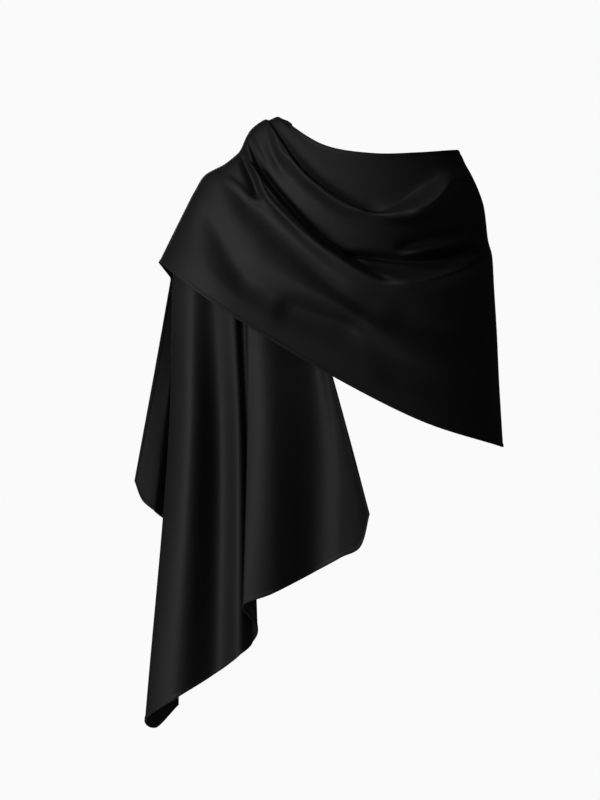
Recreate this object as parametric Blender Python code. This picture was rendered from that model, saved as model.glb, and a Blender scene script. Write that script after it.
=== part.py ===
"""Worn black scarf: one long rectangle of cloth wound round a pair of shoulders.

The cloth starts at a hem that hangs down the front, goes up over one shoulder, across the back and round the
other arm, comes back across the chest in cowl folds, and goes over the first shoulder again, on top, to hang
down the back. Each of those four stretches is a thin wall. The walls butt at the shoulder and at the arm.

Metres, +Z up, the front faces -Y. The origin is the middle of the shoulders, at the base of the neck.
"""

from collections import namedtuple

import bpy
import numpy as np

MM = 0.001
WALL = 2.0 * MM
SEAM_GAP = 0.3 * MM
# The front end leaves the shoulder at a slant, so its rim starts this far from the middle of the seam.
UNDER_GAP = 0.8 * MM

# How many strips a wall has between two folds, and how many steps it has along the cloth.
CHEST_STRIPS = 3
CHEST_STEPS = 34
BACK_STRIPS = 28
BACK_STEPS = 24
FRONT_STRIPS = 2
FRONT_STEPS = 32
TAIL_STRIPS = 3
TAIL_STEPS = 26

# The section of the wrap is a little fuller than an ellipse, so its depth follows a sine to this power.
FULLNESS = 0.85
# A hanging end rolls over the shoulder in this share of its way, and the one under the chest lies slack.
FRONT_BEND = 0.36
TAIL_BEND = 0.34
SLACK = 1.6
ROUND = 1.0

BLACK = (0.012, 0.012, 0.013, 1)
CLOTH_ROUGHNESS = 0.55

# The chest. Each fold runs from the arm over three places on the chest to the shoulder line, given as
# (x, z) in mm. The last column is how far it stands in front of the shoulder line at those three places, in mm.
ChestFold = namedtuple("ChestFold", "name arm right middle left shoulder out")
CHEST_FOLDS = (
    ChestFold("top edge", (173, 1), (112, -4), (47, -5), (-22, 7), (-82, 43), (76, 81, 65)),
    ChestFold("upper face", (179, -9), (124, -32), (51, -44), (-32, -17), (-91, 50), (84, 89, 67)),
    ChestFold("first groove", (184, -20), (128, -46), (52, -91), (-43, -38), (-104, 45), (92, 91, 67)),
    ChestFold("first cowl", (194, -38), (134, -73), (50, -95), (-46, -40), (-109, 46), (116, 117, 86)),
    ChestFold("hollow", (211, -83), (131, -120), (41, -128), (-54, -62), (-131, 30), (93, 104, 75)),
    ChestFold("second groove", (217, -131), (146, -166), (36, -163), (-61, -97), (-144, 4), (92, 97, 77)),
    ChestFold("second cowl", (223, -155), (143, -186), (40, -183), (-66, -102), (-147, -1), (124, 132, 98)),
    ChestFold("trough", (226, -204), (131, -245), (18, -217), (-82, -130), (-168, -19), (118, 126, 96)),
    ChestFold("third cowl", (230, -270), (124, -292), (15, -239), (-99, -165), (-198, -36), (126, 135, 107)),
    ChestFold("low trough", (233, -336), (124, -330), (0, -257), (-131, -193), (-212, -58), (122, 124, 102)),
    ChestFold("low face", (236, -387), (117, -364), (-22, -293), (-164, -205), (-236, -105), (126, 128, 108)),
    ChestFold("lower edge", (239, -434), (114, -394), (-32, -319), (-172, -233), (-265, -164), (124, 128, 112)),
)

# The line on which the under layer crosses the shoulder, from the neck to the arm: (x, z) in mm.
UNDER_LINE = ((-79, 23), (-104, 11), (-126, -5), (-149, -21), (-177, -38), (-200, -62), (-226, -110), (-250, -166))

# The back. Its upper and lower edges run from the arm over three places to the shoulder, as on the chest.
BackEdge = namedtuple("BackEdge", "name right middle left")
BACK_TOP = BackEdge("top edge", (112, -16), (42, -22), (-28, -8))
BACK_LOW = BackEdge("lower edge", (120, -372), (-20, -292), (-160, -212))
# How far the back stands behind the shoulder line, from its upper edge to its lower edge, in mm.
BACK_OUT = (66, 92, 108, 116, 120, 122)
# The share of it at those three places: the under layer lies closer near the shoulder that it goes over.
BACK_SHARE = (1.0, 0.97, 0.80)
# Soft slanting folds of the back: place across the cloth, half width across it, and height in mm at the
# same three places.
BackFold = namedtuple("BackFold", "place width height")
BACK_FOLDS = (
    BackFold(0.14, 0.06, (8, 19, 5)),
    BackFold(0.34, 0.07, (16, 25, 6)),
    BackFold(0.58, 0.08, (20, 20, 4)),
    BackFold(0.82, 0.07, (16, 14, 2)),
)

# The end that hangs in front. Each fold passes under the chest at its lower edge, hangs past a middle
# place and ends at the hem, all (x, z) in mm. The last column is how far it stands in front at those three.
FrontFold = namedtuple("FrontFold", "name under middle hem out")
FRONT_FOLDS = (
    FrontFold("inner edge", (-13, -322), (19, -440), (43, -531), (110, 110, 110)),
    FrontFold("corner", (-16, -321), (12, -440), (30, -578), (110, 111, 112)),
    FrontFold("wide ridge", (-22, -318), (-2, -440), (0, -595), (109, 109, 107)),
    FrontFold("wide trough", (-42, -310), (-36, -440), (-40, -617), (97, 97, 95)),
    FrontFold("middle ridge", (-102, -276), (-99, -440), (-99, -647), (103, 118, 124)),
    FrontFold("pleat front", (-131, -257), (-134, -440), (-141, -665), (92, 102, 114)),
    FrontFold("pleat turn", (-138, -252), (-129, -440), (-121, -696), (84, 92, 102)),
    FrontFold("pleat under", (-145, -248), (-136, -440), (-128, -719), (81, 86, 93)),
    FrontFold("left ridge", (-155, -242), (-148, -440), (-147, -737), (88, 94, 108)),
    FrontFold("left trough", (-184, -221), (-177, -440), (-182, -764), (70, 70, 82)),
    FrontFold("outer ridge", (-216, -201), (-217, -440), (-235, -797), (66, 88, 102)),
    FrontFold("flute", (-243, -184), (-250, -440), (-283, -829), (36, 52, 70)),
    FrontFold("tip", (-240, -186), (-244, -440), (-269, -844), (18, 22, 40)),
    FrontFold("outer edge", (-232, -190), (-232, -440), (-236, -811), (4, 4, 30)),
)

# The end that hangs behind, one row for each chest fold that goes over the shoulder: the place on the
# shoulder blade and the hem, (x, z) in mm, and how far they stand behind the shoulder line.
TailFold = namedtuple("TailFold", "name blade hem out")
TAIL_FOLDS = (
    TailFold("inner edge", (-97, -95), (-112, -624), (118, 112)),
    TailFold("inner ridge", (-111, -96), (-129, -644), (136, 152)),
    TailFold("inner trough", (-126, -96), (-147, -640), (116, 94)),
    TailFold("blade ridge", (-142, -98), (-164, -628), (134, 148)),
    TailFold("blade face", (-158, -101), (-180, -614), (124, 124)),
    TailFold("blade trough", (-173, -104), (-197, -598), (112, 83)),
    TailFold("middle ridge", (-186, -108), (-213, -582), (122, 127)),
    TailFold("middle trough", (-200, -118), (-232, -564), (98, 79)),
    TailFold("arm ridge", (-214, -130), (-252, -546), (92, 104)),
    TailFold("arm trough", (-227, -146), (-272, -529), (70, 51)),
    TailFold("leaf", (-238, -165), (-291, -512), (61, 55)),
    TailFold("outer edge", (-248, -186), (-302, -484), (57, 59)),
)


def row_values(rows, column):
    """One column of a fold table, in metres."""
    return np.array([getattr(row, column) for row in rows], dtype=float) * MM


def spline(values, at, even=True):
    """Smooth values through equally spaced places. Uneven folds pass even=False, which never overshoots."""
    values = np.asarray(values, dtype=float)
    rates = np.diff(values, axis=0)
    before, after = rates[:-1], rates[1:]
    if even:
        inner = (before + after) / 2
    else:
        total = np.where(before + after == 0, 1, before + after)
        inner = np.where(before * after > 0, 2 * before * after / total, 0)
    slopes = np.concatenate([rates[:1], inner, rates[-1:]])
    place = np.clip(np.asarray(at, dtype=float), 0, 1) * (len(values) - 1)
    knot = np.minimum(place.astype(int), len(values) - 2)
    t = (place - knot).reshape((-1,) + (1,) * (values.ndim - 1))
    return (values[knot] * (1 + 2 * t) * (1 - t) ** 2 + slopes[knot] * t * (1 - t) ** 2
            + values[knot + 1] * t * t * (3 - 2 * t) + slopes[knot + 1] * t * t * (t - 1))


def across(values, strips, even=False):
    """Fill in the strips between fold rows."""
    count = (len(values) - 1) * strips
    return spline(values, np.linspace(0, 1, count + 1), even)


def half_round(points, out, steps):
    """Rows that leave the outline straight back or front, cross the body and come back to the outline."""
    turn = np.linspace(0, np.pi, steps + 1)
    flat = np.stack([spline(row, (1 - np.cos(turn)) / 2) for row in points])
    depth = np.stack([spline(row, (1 - np.cos(turn)) / 2) for row in out])
    return flat, depth * np.sin(turn) ** FULLNESS


def hanging(shoulder, points, out, bend, power, steps):
    """Rows that roll over the shoulder in the first share of their way, the bend, and then hang.

    A higher power lets them sink closer to the body before they hang.
    """
    way = np.linspace(0, 1, steps + 1)
    over = np.clip(way / bend, 0, 1)
    down = np.clip((way - bend) / (1 - bend), 0, 1)
    flat, depth = [], []
    for start, row, far in zip(shoulder, points, out):
        roll = start + (row[0] - start) * (1 - np.cos(over * np.pi / 2))[:, None]
        hang = spline(row, down) - row[0]
        flat.append(roll + hang)
        depth.append(far[0] * np.sin(over * np.pi / 2) ** power + spline(far, down) - far[0])
    return np.stack(flat), np.stack(depth)


def wall(name, flat, depth):
    """A cloth wall from a grid of (x, z) places and their depths y."""
    rows, steps = depth.shape
    points = np.stack([flat[..., 0], depth, flat[..., 1]], axis=-1).reshape(-1, 3)
    index = np.arange(rows * steps).reshape(rows, steps)
    corners = (index[:-1, :-1], index[1:, :-1], index[1:, 1:], index[:-1, 1:])
    faces = np.stack(corners, axis=-1).reshape(-1, 4)
    mesh = bpy.data.meshes.new(name)
    mesh.from_pydata(points.tolist(), [], faces.tolist())
    mesh.shade_smooth()
    thing = bpy.data.objects.new(name, mesh)
    bpy.context.scene.collection.objects.link(thing)
    thickness = thing.modifiers.new("wall", "SOLIDIFY")
    thickness.thickness = WALL
    thickness.offset = 0
    mesh.materials.append(cloth_material(name))


def cloth_material(name):
    material = bpy.data.materials.new(name + "_cloth")
    material.use_nodes = True
    shader = material.node_tree.nodes["Principled BSDF"]
    shader.inputs["Base Color"].default_value = BLACK
    shader.inputs["Roughness"].default_value = CLOTH_ROUGHNESS
    shader.inputs["Metallic"].default_value = 0
    return material


def chest_wrap():
    columns = ("arm", "right", "middle", "left", "shoulder")
    points = np.stack([row_values(CHEST_FOLDS, name) for name in columns], axis=1)
    points = across(points, CHEST_STRIPS)
    out = across(row_values(CHEST_FOLDS, "out"), CHEST_STRIPS)
    flat, depth = half_round(points, out, CHEST_STEPS)
    wall("chest_wrap", flat, -depth - SEAM_GAP / 2)


def back_wrap():
    place = np.linspace(0, 1, BACK_STRIPS + 1)
    arm = spline(row_values(CHEST_FOLDS, "arm"), place, even=False)
    between = spline(np.array([BACK_TOP[1:], BACK_LOW[1:]]) * MM, place)
    shoulder = spline(np.array(UNDER_LINE) * MM, place)
    points = np.concatenate([arm[:, None], between, shoulder[:, None]], axis=1)
    out = spline(np.array(BACK_OUT) * MM, place)[:, None] * np.array(BACK_SHARE)
    for fold in BACK_FOLDS:
        bulge = np.exp(-((place - fold.place) / fold.width) ** 2)
        out += bulge[:, None] * np.array(fold.height) * MM
    flat, depth = half_round(points, out, BACK_STEPS)
    wall("back_wrap", flat[::-1], (depth + SEAM_GAP / 2)[::-1])


def front_end():
    count = (len(FRONT_FOLDS) - 1) * FRONT_STRIPS + 1
    shoulder = spline(np.array(UNDER_LINE) * MM, np.linspace(0, 1, count))
    columns = ("under", "middle", "hem")
    points = np.stack([row_values(FRONT_FOLDS, name) for name in columns], axis=1)
    points = across(points, FRONT_STRIPS, even=True)
    out = across(row_values(FRONT_FOLDS, "out"), FRONT_STRIPS, even=True)
    flat, depth = hanging(shoulder, points, out, FRONT_BEND, SLACK, FRONT_STEPS)
    wall("front_end", flat[::-1], (-depth - UNDER_GAP)[::-1])


def back_end():
    shoulder = across(row_values(CHEST_FOLDS, "shoulder"), TAIL_STRIPS)
    points = np.stack([row_values(TAIL_FOLDS, name) for name in ("blade", "hem")], axis=1)
    points = across(points, TAIL_STRIPS)
    out = across(row_values(TAIL_FOLDS, "out"), TAIL_STRIPS)
    flat, depth = hanging(shoulder, points, out, TAIL_BEND, ROUND, TAIL_STEPS)
    wall("back_end", flat, depth + SEAM_GAP / 2)


for thing in list(bpy.data.objects):
    bpy.data.objects.remove(thing)
chest_wrap()
back_wrap()
front_end()
back_end()
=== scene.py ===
"""Looks of the worn black scarf: one cloth with its folds, creases and hem, its stitches, and the studio."""

import math
from collections import namedtuple

import bpy
import numpy as np
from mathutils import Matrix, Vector


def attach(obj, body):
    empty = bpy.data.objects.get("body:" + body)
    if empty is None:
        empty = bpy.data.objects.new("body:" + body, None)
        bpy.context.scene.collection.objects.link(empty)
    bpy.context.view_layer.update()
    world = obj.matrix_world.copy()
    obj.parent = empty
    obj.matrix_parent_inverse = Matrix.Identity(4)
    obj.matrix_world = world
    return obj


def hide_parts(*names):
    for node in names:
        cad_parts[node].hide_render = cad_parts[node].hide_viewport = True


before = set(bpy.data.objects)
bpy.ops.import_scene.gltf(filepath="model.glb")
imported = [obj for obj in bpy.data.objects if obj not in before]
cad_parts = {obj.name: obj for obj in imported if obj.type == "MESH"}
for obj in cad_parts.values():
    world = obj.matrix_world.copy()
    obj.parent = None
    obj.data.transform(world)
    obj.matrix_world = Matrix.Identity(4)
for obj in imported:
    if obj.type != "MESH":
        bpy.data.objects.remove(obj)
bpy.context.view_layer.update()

# A millimetre in metres, and the least length that a way is divided by.
MM = 0.001
TINY = 1e-12

# The cloth as it was cut, with slanting ends, and its thickness.
CLOTH_WIDTH = 0.55
CLOTH_THICK = 1.1 * MM

# The doubled hem all round. Rings of the mesh lie at these distances from its edge, in mm, the last few
# of them past the hem, and the stitches follow the ring with this number.
HEM_THICK = 2.5 * MM
HEM_RINGS = (0.0, 0.6, 1.7, 3.0, 4.2, 5.6, 7.2)
RINGS_PAST_HEM = 2
STITCH_RING = 3
STITCH_PITCH = 2.6 * MM
STITCH_LENGTH = 1.7 * MM
STITCH_THICK = 0.42 * MM

# A bead one unit across, which the stitches scale to their length and thickness.
BEAD_RADIUS = 0.5

# Steps of the fine mesh: across the cloth, closer together over the share with the sharp folds, and
# along each stretch.
ACROSS = 134
CLOSE_FROM = 0.08
CLOSE_TO = 0.62
CLOSE_STEP = 0.55
FRONT_STEPS = 84
BACK_STEPS = 46
CHEST_STEPS = 122
TAIL_STEPS = 52

# Each surface is worked out this many times finer before its steps are made even, and the places across
# it are read off a scale with this many marks.
OVERSAMPLE = 3
FINE_PLACES = 2001

# The section of the wrap is a little fuller than an ellipse, so its depth follows a sine to this power.
FULLNESS = 0.85

# Each end rolls over the shoulder in the first share of its way, the bend. Its depth there follows a
# sine to a power, so the end in front comes forward late, under the wrap, and the end behind is round.
FRONT_BEND = 0.36
FRONT_POWER = 2.0
TAIL_BEND = 0.34
TAIL_POWER = 1.0

# Behind the neck the inner edge rolls out a little to the side: how far, over which share of the rows,
# over which share of the way down it begins, and where it is and how long, as shares of the way down.
NECK_ROLL = 13 * MM
ROLL_ROWS = 0.10
ROLL_START = 0.03
ROLL_PLACE = 0.07
ROLL_LENGTH = 0.07

# The chest. Each fold runs from the arm over three places on the chest to the shoulder line, given as
# (x, z) in mm. The last column is how far it stands in front of the shoulder line at those three
# places, in mm.
ChestFold = namedtuple("ChestFold", "name arm right middle left shoulder out")
CHEST_FOLDS = (
    ChestFold("top edge", (173, 1), (112, -4), (47, -5), (-22, 7), (-82, 43), (76, 81, 65)),
    ChestFold("upper face", (179, -9), (124, -32), (51, -44), (-32, -17), (-91, 50), (84, 89, 67)),
    ChestFold("first groove", (184, -20), (128, -46), (52, -91), (-43, -38), (-104, 45), (92, 91, 67)),
    ChestFold("first cowl", (194, -38), (134, -73), (50, -95), (-46, -40), (-109, 46), (116, 117, 86)),
    ChestFold("hollow", (211, -83), (131, -120), (41, -128), (-54, -62), (-131, 30), (93, 104, 75)),
    ChestFold("second groove", (217, -131), (146, -166), (36, -163), (-61, -97), (-144, 4), (92, 97, 77)),
    ChestFold("second cowl", (223, -155), (143, -186), (40, -183), (-66, -102), (-147, -1), (124, 132, 98)),
    ChestFold("trough", (226, -204), (131, -245), (18, -217), (-82, -130), (-168, -19), (118, 126, 96)),
    ChestFold("third cowl", (230, -270), (124, -292), (15, -239), (-99, -165), (-198, -36), (126, 135, 107)),
    ChestFold("low trough", (233, -336), (124, -330), (0, -257), (-131, -193), (-212, -58), (122, 124, 102)),
    ChestFold("low face", (236, -387), (117, -364), (-22, -293), (-164, -205), (-236, -105), (126, 128, 108)),
    ChestFold("lower edge", (239, -434), (114, -394), (-32, -319), (-172, -233), (-265, -164),
              (124, 128, 112)),
)

# The line on which the under layer crosses the shoulder, from the neck to the arm: (x, z) in mm.
UNDER_LINE = ((-79, 23), (-104, 11), (-126, -5), (-149, -21), (-177, -38), (-200, -62),
              (-226, -110), (-250, -166))

# The back. Its upper and lower edges run from the arm over three places to the shoulder, as on the
# chest, in mm. Then how far it stands behind the shoulder line, from the upper to the lower edge in mm,
# and the share of that at the three places. Each fold has its place and its width as shares of the way
# from edge to edge, and its height at the three places in mm.
BackEdge = namedtuple("BackEdge", "name right middle left")
BACK_TOP = BackEdge("top edge", (112, -16), (42, -22), (-28, -8))
BACK_LOW = BackEdge("lower edge", (120, -372), (-20, -292), (-160, -212))
BACK_OUT = (66, 92, 108, 116, 120, 122)
BACK_SHARE = (1.0, 0.97, 0.80)
BackFold = namedtuple("BackFold", "place width height")
BACK_FOLDS = (
    BackFold(0.14, 0.06, (8, 19, 5)),
    BackFold(0.34, 0.07, (16, 25, 6)),
    BackFold(0.58, 0.08, (20, 20, 4)),
    BackFold(0.82, 0.07, (16, 14, 2)),
)

# The end that hangs in front. Each fold passes under the chest at its lower edge, hangs past a middle
# place and ends at the hem, all (x, z) in mm. The last column is how far it stands in front at those
# three.
FrontFold = namedtuple("FrontFold", "name under middle hem out")
FRONT_FOLDS = (
    FrontFold("inner edge", (-13, -322), (19, -440), (43, -531), (110, 110, 110)),
    FrontFold("corner", (-16, -321), (12, -440), (30, -578), (110, 111, 112)),
    FrontFold("wide ridge", (-22, -318), (-2, -440), (0, -595), (109, 109, 107)),
    FrontFold("wide trough", (-42, -310), (-36, -440), (-40, -617), (97, 97, 95)),
    FrontFold("middle ridge", (-102, -276), (-99, -440), (-99, -647), (103, 118, 124)),
    FrontFold("pleat front", (-131, -257), (-134, -440), (-141, -665), (92, 102, 114)),
    FrontFold("pleat turn", (-138, -252), (-129, -440), (-121, -696), (84, 92, 102)),
    FrontFold("pleat under", (-145, -248), (-136, -440), (-128, -719), (81, 86, 93)),
    FrontFold("left ridge", (-155, -242), (-148, -440), (-147, -737), (88, 94, 108)),
    FrontFold("left trough", (-184, -221), (-177, -440), (-182, -764), (70, 70, 82)),
    FrontFold("outer ridge", (-216, -201), (-217, -440), (-235, -797), (66, 88, 102)),
    FrontFold("flute", (-243, -184), (-250, -440), (-283, -829), (36, 52, 70)),
    FrontFold("tip", (-240, -186), (-244, -440), (-269, -844), (18, 22, 40)),
    FrontFold("outer edge", (-232, -190), (-232, -440), (-236, -811), (4, 4, 30)),
)

# The end that hangs behind, one row for each chest fold that goes over the shoulder: the place on the
# shoulder blade and the hem, (x, z) in mm, and how far they stand behind the shoulder line.
TailFold = namedtuple("TailFold", "name blade hem out")
TAIL_FOLDS = (
    TailFold("inner edge", (-97, -95), (-112, -624), (118, 112)),
    TailFold("inner ridge", (-111, -96), (-129, -644), (136, 152)),
    TailFold("inner trough", (-126, -96), (-147, -640), (116, 94)),
    TailFold("blade ridge", (-142, -98), (-164, -628), (134, 148)),
    TailFold("blade face", (-158, -101), (-180, -614), (124, 124)),
    TailFold("blade trough", (-173, -104), (-197, -598), (112, 83)),
    TailFold("middle ridge", (-186, -108), (-213, -582), (122, 127)),
    TailFold("middle trough", (-200, -118), (-232, -564), (98, 79)),
    TailFold("arm ridge", (-214, -130), (-252, -546), (92, 104)),
    TailFold("arm trough", (-227, -146), (-272, -529), (70, 51)),
    TailFold("leaf", (-238, -165), (-291, -512), (61, 55)),
    TailFold("outer edge", (-248, -186), (-302, -484), (57, 59)),
)

# Creases: the line that each follows as (x, z) in mm, its half width above and below the
# line, and how far it rises, or sinks where negative, in mm. It fades in and out over a share of its
# length, and its line is made smooth with a number of parts for each point.
CREASE_FADE = 0.25
CREASE_PARTS = 8
Crease = namedtuple("Crease", "name line above below rise")
CHEST_CREASES = (
    Crease("first crest", ((-104, 38), (-95, 19), (-84, -3), (-73, -13), (-55, -35), (-36, -52), (6, -82),
                           (54, -93), (89, -92)), 3, 9, 4),
    Crease("first crest end", ((40, -92), (75, -97), (108, -93), (134, -80), (152, -62), (161, -44),
                               (168, -24)), 14, 9, 17),
    Crease("first crest knuckle", ((84, -99), (112, -93), (134, -80), (150, -65), (161, -48),
                                   (168, -28)), 12, 11, 13),
    Crease("second groove", ((-146, 42), (-138, 24), (-127, -4), (-113, -30), (-95, -55), (-64, -93),
                             (-29, -132), (6, -153), (40, -157), (70, -162)), 5, 4, -6),
    Crease("second groove end", ((10, -152), (40, -157), (80, -162), (120, -164), (152, -160), (182, -150),
                                 (216, -132)), 7, 6, -10),
    Crease("second crest start", ((-150, 44), (-143, 28), (-137, 13), (-128, -18), (-120, -38), (-112, -60),
                                  (-93, -84), (-70, -108), (-48, -132)), 4, 5, 6),
    Crease("second crest", ((-112, -60), (-81, -93), (-47, -128), (-2, -161), (41, -188), (76, -197),
                            (110, -197), (162, -182), (216, -158)), 5, 13, 4),
    Crease("second crest end", ((60, -190), (93, -194), (130, -189), (156, -181), (184, -171),
                                (214, -154)), 8, 11, 12),
    Crease("split groove", ((2, -150), (26, -166), (54, -184), (80, -192)), 5, 3, -7),
    Crease("side ridge", ((80, -158), (110, -149), (140, -142), (170, -136), (198, -130),
                          (224, -120)), 6, 7, 9),
    Crease("side hollow", ((76, -148), (104, -140), (140, -130), (172, -122), (206, -110)), 12, 5, -8),
    Crease("lobe hollow", ((-118, 58), (-111, 44), (-105, 22), (-99, 0), (-88, -24), (-72, -50)), 7, 7, -4),
    Crease("lobe crease", ((-140, 34), (-132, 22), (-123, 7), (-115, -8), (-106, -28)), 3, 3, -3),
    Crease("pocket", ((-146, 14), (-140, -12), (-133, -30), (-126, -46), (-119, -66),
                      (-114, -76)), 6, 8, -13),
    Crease("pocket lip", ((-168, -38), (-159, -45), (-146, -56), (-133, -70), (-120, -75),
                          (-108, -62)), 4, 4, 5),
    Crease("third groove", ((-164, -46), (-142, -73), (-122, -90), (-101, -103), (-64, -134), (-19, -176),
                            (16, -218)), 11, 20, -4),
    Crease("broad ridge", ((-150, -120), (-135, -153), (-98, -184), (-47, -206), (5, -230),
                           (34, -248)), 30, 30, 4),
    Crease("low groove", ((-97, -221), (-76, -229), (-48, -238), (-22, -247), (10, -256),
                          (46, -262)), 13, 26, -8),
    Crease("outer groove", ((-206, -76), (-190, -104), (-174, -132), (-157, -163), (-141, -191),
                            (-128, -214)), 14, 14, -3),
    Crease("far low fold", ((60, -236), (110, -258), (170, -272), (230, -268)), 20, 16, -5),
    Crease("far lowest fold", ((40, -318), (100, -340), (165, -348), (232, -328)), 18, 18, -4),
)
BACK_CREASES = (
    Crease("upper sag", ((-60, -60), (30, -92), (120, -97), (206, -60)), 7, 14, -6),
    Crease("upper crest", ((-80, -82), (35, -122), (130, -127), (212, -88)), 7, 12, 6),
    Crease("middle groove", ((-110, -108), (20, -166), (130, -186), (216, -150)), 8, 12, -7),
    Crease("middle crest", ((-120, -150), (10, -212), (120, -238), (224, -214)), 10, 14, 6),
    Crease("low groove", ((-90, -205), (40, -262), (150, -296), (228, -290)), 9, 14, -6),
    Crease("arm crease", ((100, -318), (170, -342), (230, -352)), 8, 12, -5),
)
TAIL_CREASES = (
    Crease("inner crease", ((-116, -110), (-128, -220), (-134, -360), (-140, -520)), 9, 9, -4),
    Crease("blade crease", ((-196, -120), (-188, -230), (-196, -340)), 8, 8, -5),
    Crease("low crease", ((-176, -330), (-184, -430), (-196, -560)), 10, 10, -5),
    Crease("arm crease", ((-230, -190), (-236, -290), (-254, -420)), 9, 9, -4),
)


def column(rows, name):
    """One column of a fold table, in metres."""
    return np.array([getattr(row, name) for row in rows], dtype=float) * MM


def spline(values, at, even=True):
    """Smooth values through equally spaced places. Uneven folds pass even=False, which never overshoots."""
    values = np.asarray(values, dtype=float)
    rates = np.diff(values, axis=0)
    before, after = rates[:-1], rates[1:]
    if even:
        inner = (before + after) / 2
    else:
        total = np.where(before + after == 0, 1, before + after)
        inner = np.where(before * after > 0, 2 * before * after / total, 0)
    slopes = np.concatenate([rates[:1], inner, rates[-1:]])
    place = np.clip(np.asarray(at, dtype=float), 0, 1) * (len(values) - 1)
    knot = np.minimum(place.astype(int), len(values) - 2)
    t = (place - knot).reshape((-1,) + (1,) * (values.ndim - 1))
    return (values[knot] * (1 + 2 * t) * (1 - t) ** 2 + slopes[knot] * t * (1 - t) ** 2
            + values[knot + 1] * t * t * (3 - 2 * t) + slopes[knot + 1] * t * t * (t - 1))


def half_round(points, out, steps):
    """Rows that leave the outline straight back or front, cross the body and come back to the outline."""
    turn = np.linspace(0, np.pi, steps + 1)
    flat = np.stack([spline(row, (1 - np.cos(turn)) / 2) for row in points])
    depth = np.stack([spline(row, (1 - np.cos(turn)) / 2) for row in out])
    return flat, depth * np.sin(turn) ** FULLNESS


def hanging(shoulder, points, out, bend, power, steps):
    """Rows that roll over the shoulder in the first share of their way, the bend, and then hang."""
    way = np.linspace(0, 1, steps + 1)
    over = np.clip(way / bend, 0, 1)
    down = np.clip((way - bend) / (1 - bend), 0, 1)
    flat, depth = [], []
    for start, row, far in zip(shoulder, points, out):
        roll = start + (row[0] - start) * (1 - np.cos(over * np.pi / 2))[:, None]
        hang = spline(row, down) - row[0]
        flat.append(roll + hang)
        depth.append(far[0] * np.sin(over * np.pi / 2) ** power + spline(far, down) - far[0])
    return np.stack(flat), np.stack(depth)


def in_space(flat, depth):
    """Points in space from their place in the front view and their depth."""
    return np.stack([flat[..., 0], depth, flat[..., 1]], axis=-1)


def smooth_step(value):
    """From 0 to 1 with a level start and end."""
    value = np.clip(value, 0, 1)
    return value * value * (3 - 2 * value)


def press(points, creases, side):
    """Push the cloth out or in along creases drawn on its front or its back."""
    flat = points[..., (0, 2)]
    for crease in creases:
        line = spline(np.array(crease.line) * MM, np.linspace(0, 1, CREASE_PARTS * len(crease.line)))
        best = np.full(flat.shape[:-1], np.inf)
        share = np.zeros_like(best)
        upper = np.zeros_like(best, dtype=bool)
        for number, (a, b) in enumerate(zip(line[:-1], line[1:])):
            way = b - a
            off = flat - a
            along = np.clip((off @ way) / (way @ way), 0, 1)
            gap = np.linalg.norm(off - along[..., None] * way, axis=-1)
            nearer = gap < best
            share = np.where(nearer, (number + along) / (len(line) - 1), share)
            upper = np.where(nearer, way[0] * off[..., 1] > way[1] * off[..., 0], upper)
            best = np.where(nearer, gap, best)
        fade = smooth_step(share / CREASE_FADE) * smooth_step((1 - share) / CREASE_FADE)
        width = np.where(upper, crease.above, crease.below) * MM
        points[..., 1] += side * crease.rise * MM * fade * np.exp(-(best / width) ** 2)


def even_steps(points, steps):
    """The same stretch in fewer steps, which are about equally long."""
    lengths = np.linalg.norm(np.diff(points, axis=1), axis=2).mean(axis=0)
    way = np.concatenate([[0], np.cumsum(lengths)])
    at = np.interp(np.linspace(0, way[-1], steps + 1), way, np.arange(len(way)))
    low = np.minimum(at.astype(int), len(way) - 2)
    share = (at - low)[None, :, None]
    return points[:, low] * (1 - share) + points[:, low + 1] * share


def close_rows(count):
    """Places across the cloth from 0 to 1, closer together where the sharp folds are."""
    fine = np.linspace(0, 1, FINE_PLACES)
    step = np.where((fine > CLOSE_FROM) & (fine < CLOSE_TO), CLOSE_STEP, 1.0)
    number = np.concatenate([[0], np.cumsum(1 / step[1:])])
    return np.interp(np.linspace(0, number[-1], count + 1), number, fine)


def front_end(v):
    """The end in front, from its hem up to the shoulder."""
    shoulder = spline(np.array(UNDER_LINE) * MM, v)
    points = np.stack([column(FRONT_FOLDS, name) for name in ("under", "middle", "hem")], axis=1)
    flat, depth = hanging(shoulder, spline(points, v), spline(column(FRONT_FOLDS, "out"), v),
                          FRONT_BEND, FRONT_POWER, OVERSAMPLE * FRONT_STEPS)
    return in_space(flat, -depth)[:, ::-1]


def back_wrap(v):
    """The back, from the shoulder to the covered arm."""
    arm = spline(column(CHEST_FOLDS, "arm"), v, even=False)
    between = spline(np.array([BACK_TOP[1:], BACK_LOW[1:]]) * MM, v)
    shoulder = spline(np.array(UNDER_LINE) * MM, v)
    points = np.concatenate([arm[:, None], between, shoulder[:, None]], axis=1)
    out = spline(np.array(BACK_OUT) * MM, v)[:, None] * np.array(BACK_SHARE)
    for fold in BACK_FOLDS:
        bulge = np.exp(-((v - fold.place) / fold.width) ** 2)
        out += bulge[:, None] * np.array(fold.height) * MM
    flat, depth = half_round(points, out, OVERSAMPLE * BACK_STEPS)
    points = in_space(flat, depth)
    press(points, BACK_CREASES, 1)
    return points[:, ::-1]


def chest_wrap(v):
    """The chest, from the covered arm up to the shoulder."""
    names = ("arm", "right", "middle", "left", "shoulder")
    points = np.stack([column(CHEST_FOLDS, name) for name in names], axis=1)
    out = spline(column(CHEST_FOLDS, "out"), v, even=False)
    flat, depth = half_round(spline(points, v, even=False), out, OVERSAMPLE * CHEST_STEPS)
    points = in_space(flat, -depth)
    press(points, CHEST_CREASES, -1)
    return points


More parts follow.
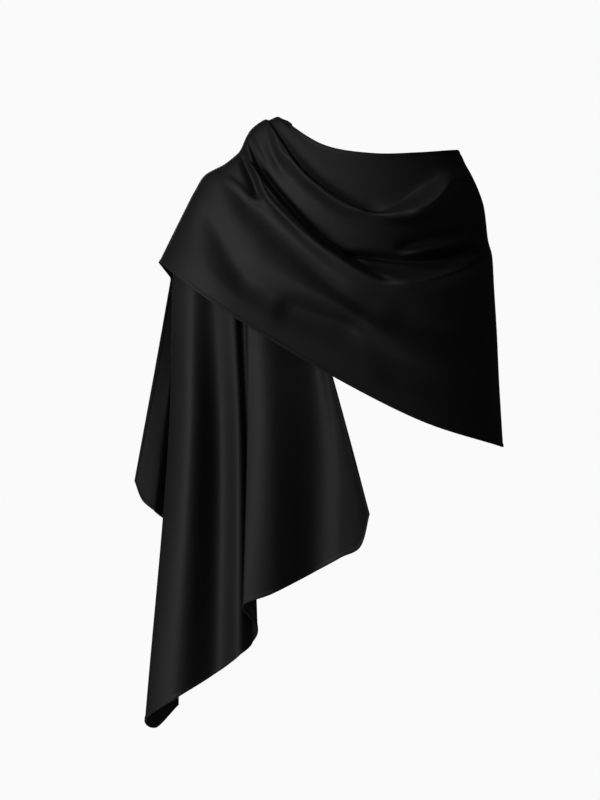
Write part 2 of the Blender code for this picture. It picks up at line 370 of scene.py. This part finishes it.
def back_end(v):
    """The end behind, from the shoulder down to its hem."""
    shoulder = spline(column(CHEST_FOLDS, "shoulder"), v, even=False)
    points = np.stack([column(TAIL_FOLDS, name) for name in ("blade", "hem")], axis=1)
    out = spline(column(TAIL_FOLDS, "out"), v, even=False)
    flat, depth = hanging(shoulder, spline(points, v, even=False), out,
                          TAIL_BEND, TAIL_POWER, OVERSAMPLE * TAIL_STEPS)
    points = in_space(flat, depth)
    way = np.linspace(0, 1, points.shape[1])
    rows = smooth_step(1 - v / ROLL_ROWS)[:, None]
    bulge = np.exp(-((way - ROLL_PLACE) / ROLL_LENGTH) ** 2) * smooth_step(way / ROLL_START)
    points[..., 0] += NECK_ROLL * rows * bulge
    press(points, TAIL_CREASES, 1)
    return points


def whole_cloth():
    """The cloth from the front hem to the back hem, as rows across it and steps along it."""
    v = close_rows(OVERSAMPLE * ACROSS)
    makers = ((front_end, FRONT_STEPS), (back_wrap, BACK_STEPS),
              (chest_wrap, CHEST_STEPS), (back_end, TAIL_STEPS))
    stretches = [even_steps(make(v), steps) for make, steps in makers]
    joined = [stretches[0]] + [stretch[:, 1:] for stretch in stretches[1:]]
    return np.concatenate(joined, axis=1)


def with_hem_rings(lines, count):
    """Place points on each line again: a few rings close to both ends, for the hem, and strips between."""
    rings = np.array(HEM_RINGS) * MM
    result = []
    for line in lines:
        length = np.concatenate([[0], np.cumsum(np.linalg.norm(np.diff(line, axis=0), axis=1))])
        knots = np.linspace(0, 1, len(line))
        start = np.interp(rings, length, knots)
        end = np.interp(length[-1] - rings[::-1], length, knots)
        at = np.concatenate([start[:-1], np.linspace(start[-1], end[0], count + 1), end[1:]])
        result.append(np.stack([np.interp(at, knots, line[:, axis]) for axis in range(3)], axis=1))
    return np.stack(result)


def cloth_grid():
    """The cloth with hem rings along all four edges."""
    fine = whole_cloth()
    across = with_hem_rings(np.swapaxes(fine, 0, 1), ACROSS)
    return with_hem_rings(np.swapaxes(across, 0, 1), across.shape[0] - 1)


def smooth_normals(grid):
    """The way out of the cloth at each point."""
    along = np.gradient(grid, axis=1)
    across = np.gradient(grid, axis=0)
    normal = np.cross(along, across)
    return normal / np.maximum(np.linalg.norm(normal, axis=-1, keepdims=True), TINY)


def make_scarf(grid, material):
    """The whole cloth as one mesh, with its thickness as a modifier."""
    rows, steps = grid.shape[:2]
    index = np.arange(rows * steps).reshape(rows, steps)
    corners = (index[:-1, :-1], index[:-1, 1:], index[1:, 1:], index[1:, :-1])
    faces = np.stack(corners, axis=-1).reshape(-1, 4)
    mesh = bpy.data.meshes.new("scarf")
    mesh.from_pydata(grid.reshape(-1, 3).tolist(), [], faces.tolist())
    mesh.shade_smooth()
    add_cut_map(mesh, grid, index)
    scarf = bpy.data.objects.new("scarf", mesh)
    bpy.context.scene.collection.objects.link(scarf)
    mesh.materials.append(material)
    add_thickness(scarf, index)
    return scarf


def add_cut_map(mesh, grid, index):
    """A UV map in metres of the flat cloth, so that the weave follows it."""
    steps_along = np.linalg.norm(np.diff(grid, axis=1), axis=2).mean(axis=0)
    along = np.concatenate([[0], np.cumsum(steps_along)])
    rows_across = np.linalg.norm(np.diff(grid, axis=0), axis=2).mean(axis=1)
    across = np.concatenate([[0], np.cumsum(rows_across)])
    places = np.empty(index.shape + (2,))
    places[..., 0] = (across * CLOTH_WIDTH / across[-1])[:, None]
    places[..., 1] = along[None, :]
    layer = mesh.uv_layers.new(name="cut")
    corner_of = np.empty(len(mesh.loops), dtype=int)
    mesh.loops.foreach_get("vertex_index", corner_of)
    layer.data.foreach_set("uv", places.reshape(-1, 2)[corner_of].ravel())


def add_thickness(scarf, index):
    """One layer of cloth inside, and the doubled hem round it."""
    doubled = len(HEM_RINGS) - RINGS_PAST_HEM
    in_hem = np.ones(index.shape, dtype=bool)
    in_hem[doubled:-doubled, doubled:-doubled] = False
    hem = scarf.vertex_groups.new(name="hem")
    hem.add(index[in_hem].tolist(), 1.0, "REPLACE")
    wall = scarf.modifiers.new("thickness", "SOLIDIFY")
    wall.thickness = HEM_THICK
    wall.offset = 0
    wall.vertex_group = "hem"
    wall.thickness_vertex_group = CLOTH_THICK / HEM_THICK


def stitch_lines(grid, normals):
    """The seam line round the cloth, on both faces, with the way out of the cloth at each point."""
    first = STITCH_RING
    last_row = grid.shape[0] - 1 - first
    last_step = grid.shape[1] - 1 - first
    loop = [(first, step) for step in range(first, last_step + 1)]
    loop += [(row, last_step) for row in range(first + 1, last_row + 1)]
    loop += [(last_row, step) for step in range(last_step - 1, first - 1, -1)]
    loop += [(row, first) for row in range(last_row - 1, first, -1)]
    rows, steps = np.array(loop).T
    centre, out = grid[rows, steps], normals[rows, steps]
    mesh = bpy.data.meshes.new("stitch_lines")
    count = len(centre)
    points = np.concatenate([centre + out * HEM_THICK / 2, centre - out * HEM_THICK / 2])
    edges = [(n, (n + 1) % count) for n in range(count)]
    edges += [(count + a, count + b) for a, b in edges]
    mesh.from_pydata(points.tolist(), edges, [])
    face = mesh.attributes.new("face", "FLOAT_VECTOR", "POINT")
    face.data.foreach_set("vector", np.concatenate([out, -out]).ravel())
    lines = bpy.data.objects.new("stitch_lines", mesh)
    bpy.context.scene.collection.objects.link(lines)
    return lines


def stitch_tree(material):
    """Stitches of a given pitch, length and thickness along a line, lying on the cloth's face."""
    tree = bpy.data.node_groups.new("stitches", "GeometryNodeTree")
    face = tree.interface
    face.new_socket("Geometry", in_out="INPUT", socket_type="NodeSocketGeometry")
    for name in ("Pitch", "Length", "Thickness"):
        face.new_socket(name, in_out="INPUT", socket_type="NodeSocketFloat")
    face.new_socket("Geometry", in_out="OUTPUT", socket_type="NodeSocketGeometry")
    new, join = tree.nodes.new, tree.links.new
    given, result = new("NodeGroupInput"), new("NodeGroupOutput")
    curve = new("GeometryNodeMeshToCurve")
    join(given.outputs["Geometry"], curve.inputs["Mesh"])
    spaced = new("GeometryNodeResampleCurve")
    spaced.mode = "LENGTH"
    join(curve.outputs["Curve"], spaced.inputs["Curve"])
    join(given.outputs["Pitch"], spaced.inputs["Length"])
    tangent = new("GeometryNodeInputTangent")
    outward = new("GeometryNodeInputNamedAttribute")
    outward.data_type = "FLOAT_VECTOR"
    outward.inputs["Name"].default_value = "face"
    turn = new("FunctionNodeAxesToRotation")
    turn.primary_axis = "Z"
    turn.secondary_axis = "X"
    join(outward.outputs["Attribute"], turn.inputs["Primary Axis"])
    join(tangent.outputs["Tangent"], turn.inputs["Secondary Axis"])
    bead = new("GeometryNodeMeshIcoSphere")
    bead.inputs["Radius"].default_value = BEAD_RADIUS
    bead.inputs["Subdivisions"].default_value = 1
    size = new("ShaderNodeCombineXYZ")
    join(given.outputs["Length"], size.inputs["X"])
    join(given.outputs["Thickness"], size.inputs["Y"])
    join(given.outputs["Thickness"], size.inputs["Z"])
    laid = new("GeometryNodeInstanceOnPoints")
    join(spaced.outputs["Curve"], laid.inputs["Points"])
    join(bead.outputs["Mesh"], laid.inputs["Instance"])
    join(turn.outputs["Rotation"], laid.inputs["Rotation"])
    join(size.outputs["Vector"], laid.inputs["Scale"])
    real = new("GeometryNodeRealizeInstances")
    join(laid.outputs["Instances"], real.inputs["Geometry"])
    dressed = new("GeometryNodeSetMaterial")
    dressed.inputs["Material"].default_value = material
    join(real.outputs["Geometry"], dressed.inputs["Geometry"])
    join(dressed.outputs["Geometry"], result.inputs["Geometry"])
    return tree


def make_stitches(grid, material):
    """The two rows of stitches, made along their lines and turned into a plain mesh."""
    lines = stitch_lines(grid, smooth_normals(grid))
    tree = stitch_tree(material)
    modifier = lines.modifiers.new("stitches", "NODES")
    modifier.node_group = tree
    sizes = {"Pitch": STITCH_PITCH, "Length": STITCH_LENGTH, "Thickness": STITCH_THICK}
    for item in tree.interface.items_tree:
        if item.in_out == "INPUT" and item.name in sizes:
            modifier[item.identifier] = sizes[item.name]
    graph = bpy.context.evaluated_depsgraph_get()
    mesh = bpy.data.meshes.new_from_object(lines.evaluated_get(graph))
    mesh.name = "hem_stitches"
    mesh.shade_smooth()
    stitches = bpy.data.objects.new("hem_stitches", mesh)
    bpy.context.scene.collection.objects.link(stitches)
    bpy.data.objects.remove(lines)
    return stitches


# The cloth's two close blacks, which lie in patches, its shine, and the weave and the rumple that stand
# out of it. Scales are in repeats a metre and depths in metres.
SATIN_DARK = (0.0068, 0.0068, 0.0069, 1)
SATIN_PALE = (0.0094, 0.0094, 0.0095, 1)
SATIN_ROUGHNESS = 0.58
SATIN_SPECULAR = 0.22
PATCH_SCALE = 9
PATCH_DETAIL = 3
TWILL_SLANT = 55
TWILL_SCALE = 420
TWILL_DISTORTION = 1.5
TWILL_DETAIL = 1
TWILL_STRENGTH = 0.12
TWILL_DEPTH = 0.2 * MM
RUMPLE_SCALE = 26
RUMPLE_DETAIL = 2
RUMPLE_STRENGTH = 0.25
RUMPLE_DEPTH = 1.2 * MM

# The thread's black, its shine and its twist.
THREAD_BLACK = (0.009, 0.009, 0.009, 1)
THREAD_ROUGHNESS = 0.42
TWIST_SCALE = 900
TWIST_STRENGTH = 0.3
TWIST_DEPTH = 0.1 * MM


def new_material(name):
    material = bpy.data.materials.new(name)
    material.use_nodes = True
    tree = material.node_tree
    return material, tree, tree.nodes["Principled BSDF"]


def new_noise(tree, place, scale, detail):
    noise = tree.nodes.new("ShaderNodeTexNoise")
    noise.inputs["Scale"].default_value = scale
    noise.inputs["Detail"].default_value = detail
    tree.links.new(place.outputs["Object"], noise.inputs["Vector"])
    return noise


def new_bump(tree, texture, strength, depth):
    bump = tree.nodes.new("ShaderNodeBump")
    bump.inputs["Strength"].default_value = strength
    bump.inputs["Distance"].default_value = depth
    tree.links.new(texture.outputs["Fac"], bump.inputs["Height"])
    return bump


def black_satin():
    """Fine black satin-faced cloth: a soft shine, a faint slanting weave, and slight unevenness."""
    material, tree, shader = new_material("black satin")
    new, join = tree.nodes.new, tree.links.new
    shader.inputs["Roughness"].default_value = SATIN_ROUGHNESS
    shader.inputs["Specular IOR Level"].default_value = SATIN_SPECULAR
    place = new("ShaderNodeTexCoord")
    patches = new_noise(tree, place, PATCH_SCALE, PATCH_DETAIL)
    tone = new("ShaderNodeMix")
    tone.data_type = "RGBA"
    tone.inputs["A"].default_value = SATIN_DARK
    tone.inputs["B"].default_value = SATIN_PALE
    join(patches.outputs["Fac"], tone.inputs["Factor"])
    join(tone.outputs["Result"], shader.inputs["Base Color"])
    cut = new("ShaderNodeUVMap")
    cut.uv_map = "cut"
    turned = new("ShaderNodeMapping")
    turned.inputs["Rotation"].default_value = (0, 0, math.radians(TWILL_SLANT))
    join(cut.outputs["UV"], turned.inputs["Vector"])
    twill = new("ShaderNodeTexWave")
    twill.inputs["Scale"].default_value = TWILL_SCALE
    twill.inputs["Distortion"].default_value = TWILL_DISTORTION
    twill.inputs["Detail"].default_value = TWILL_DETAIL
    join(turned.outputs["Vector"], twill.inputs["Vector"])
    weave = new_bump(tree, twill, TWILL_STRENGTH, TWILL_DEPTH)
    rumple = new_noise(tree, place, RUMPLE_SCALE, RUMPLE_DETAIL)
    uneven = new_bump(tree, rumple, RUMPLE_STRENGTH, RUMPLE_DEPTH)
    join(weave.outputs["Normal"], uneven.inputs["Normal"])
    join(uneven.outputs["Normal"], shader.inputs["Normal"])
    return material


def black_thread():
    """Sewing thread, a little glossier than the cloth, with its twist."""
    material, tree, shader = new_material("black thread")
    shader.inputs["Base Color"].default_value = THREAD_BLACK
    shader.inputs["Roughness"].default_value = THREAD_ROUGHNESS
    place = tree.nodes.new("ShaderNodeTexCoord")
    twist = tree.nodes.new("ShaderNodeTexWave")
    twist.inputs["Scale"].default_value = TWIST_SCALE
    tree.links.new(place.outputs["Object"], twist.inputs["Vector"])
    bump = new_bump(tree, twist, TWIST_STRENGTH, TWIST_DEPTH)
    tree.links.new(bump.outputs["Normal"], shader.inputs["Normal"])
    return material


# The studio: one pixel of the photograph is this long at the cloth, and this place is its middle.
PIXEL = 1.46 * MM
PHOTO_HEIGHT = 800
VIEW_CENTRE = Vector((-0.0584, -0.06, -0.365))
CAMERA_DISTANCE = 14.0
SENSOR = 36.0
FLOOR_LEVEL = -1.35
FLOOR_RADIUS = 1.5
FLOOR_THICK = 0.02
FLOOR_TONE = (0.86, 0.86, 0.86, 1)
FLOOR_ROUGHNESS = 0.8

# The white that the eye sees all round, and the strength of the soft light that comes from there.
SEEN_WHITE = (0.956, 0.956, 0.956, 1)
SOFT_LIGHT = 0.03

# The lamps: where each stands and what it is aimed at in metres, its width and height, and its power in
# watts.
Lamp = namedtuple("Lamp", "name place aim size power")
LAMPS = (
    Lamp("key", (-2.8, -1.85, 0.3), (-0.05, 0, -0.35), (1.0, 1.0), 52),
    Lamp("top", (-1.35, -0.8, 1.75), (0.12, 0, -0.1), (0.6, 0.6), 12),
    Lamp("fill", (-0.6, -3.6, 0.2), (0, 0, -0.3), (2.0, 2.0), 9),
    Lamp("behind", (-0.3, 3.0, 0.2), (0, 0, -0.3), (1.6, 1.6), 24),
)


def add_camera():
    """A long lens straight in front, with the photograph's frame."""
    data = bpy.data.cameras.new("camera")
    data.sensor_width = SENSOR
    data.lens = SENSOR * CAMERA_DISTANCE / (PHOTO_HEIGHT * PIXEL)
    camera = bpy.data.objects.new("camera", data)
    camera.location = VIEW_CENTRE - Vector((0, CAMERA_DISTANCE, 0))
    camera.rotation_euler = (math.pi / 2, 0, 0)
    bpy.context.scene.collection.objects.link(camera)
    bpy.context.scene.camera = camera


def add_lamp(lamp):
    data = bpy.data.lights.new(lamp.name, "AREA")
    data.shape = "RECTANGLE"
    data.size, data.size_y = lamp.size
    data.energy = lamp.power
    light = bpy.data.objects.new(lamp.name, data)
    light.location = lamp.place
    way = Vector(lamp.aim) - Vector(lamp.place)
    light.rotation_euler = way.to_track_quat("-Z", "Y").to_euler()
    bpy.context.scene.collection.objects.link(light)


def add_world():
    """White all round for the eye, and a dimmer soft light on the cloth."""
    world = bpy.data.worlds.new("studio")
    bpy.context.scene.world = world
    world.use_nodes = True
    tree = world.node_tree
    seen, light = tree.nodes["Background"], tree.nodes.new("ShaderNodeBackground")
    seen.inputs["Color"].default_value = SEEN_WHITE
    light.inputs["Color"].default_value = (1, 1, 1, 1)
    light.inputs["Strength"].default_value = SOFT_LIGHT
    ray, choice = tree.nodes.new("ShaderNodeLightPath"), tree.nodes.new("ShaderNodeMixShader")
    tree.links.new(ray.outputs["Is Camera Ray"], choice.inputs["Fac"])
    tree.links.new(light.outputs["Background"], choice.inputs[1])
    tree.links.new(seen.outputs["Background"], choice.inputs[2])
    tree.links.new(choice.outputs["Shader"], tree.nodes["World Output"].inputs["Surface"])


def add_floor():
    material, tree, shader = new_material("pale floor")
    shader.inputs["Base Color"].default_value = FLOOR_TONE
    shader.inputs["Roughness"].default_value = FLOOR_ROUGHNESS
    bpy.ops.mesh.primitive_cylinder_add(vertices=96, radius=FLOOR_RADIUS, depth=FLOOR_THICK,
                                        location=(0, 0, FLOOR_LEVEL - FLOOR_THICK / 2))
    floor = bpy.context.object
    floor.name = "floor"
    floor.data.materials.append(material)


bpy.context.scene.view_settings.view_transform = "Standard"
add_camera()
for lamp in LAMPS:
    add_lamp(lamp)
add_world()
add_floor()

cloth = cloth_grid()
scarf = make_scarf(cloth, black_satin())
stitches = make_stitches(cloth, black_thread())
for piece in (scarf, stitches):
    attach(piece, "root")
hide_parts("front_end", "back_wrap", "chest_wrap", "back_end")
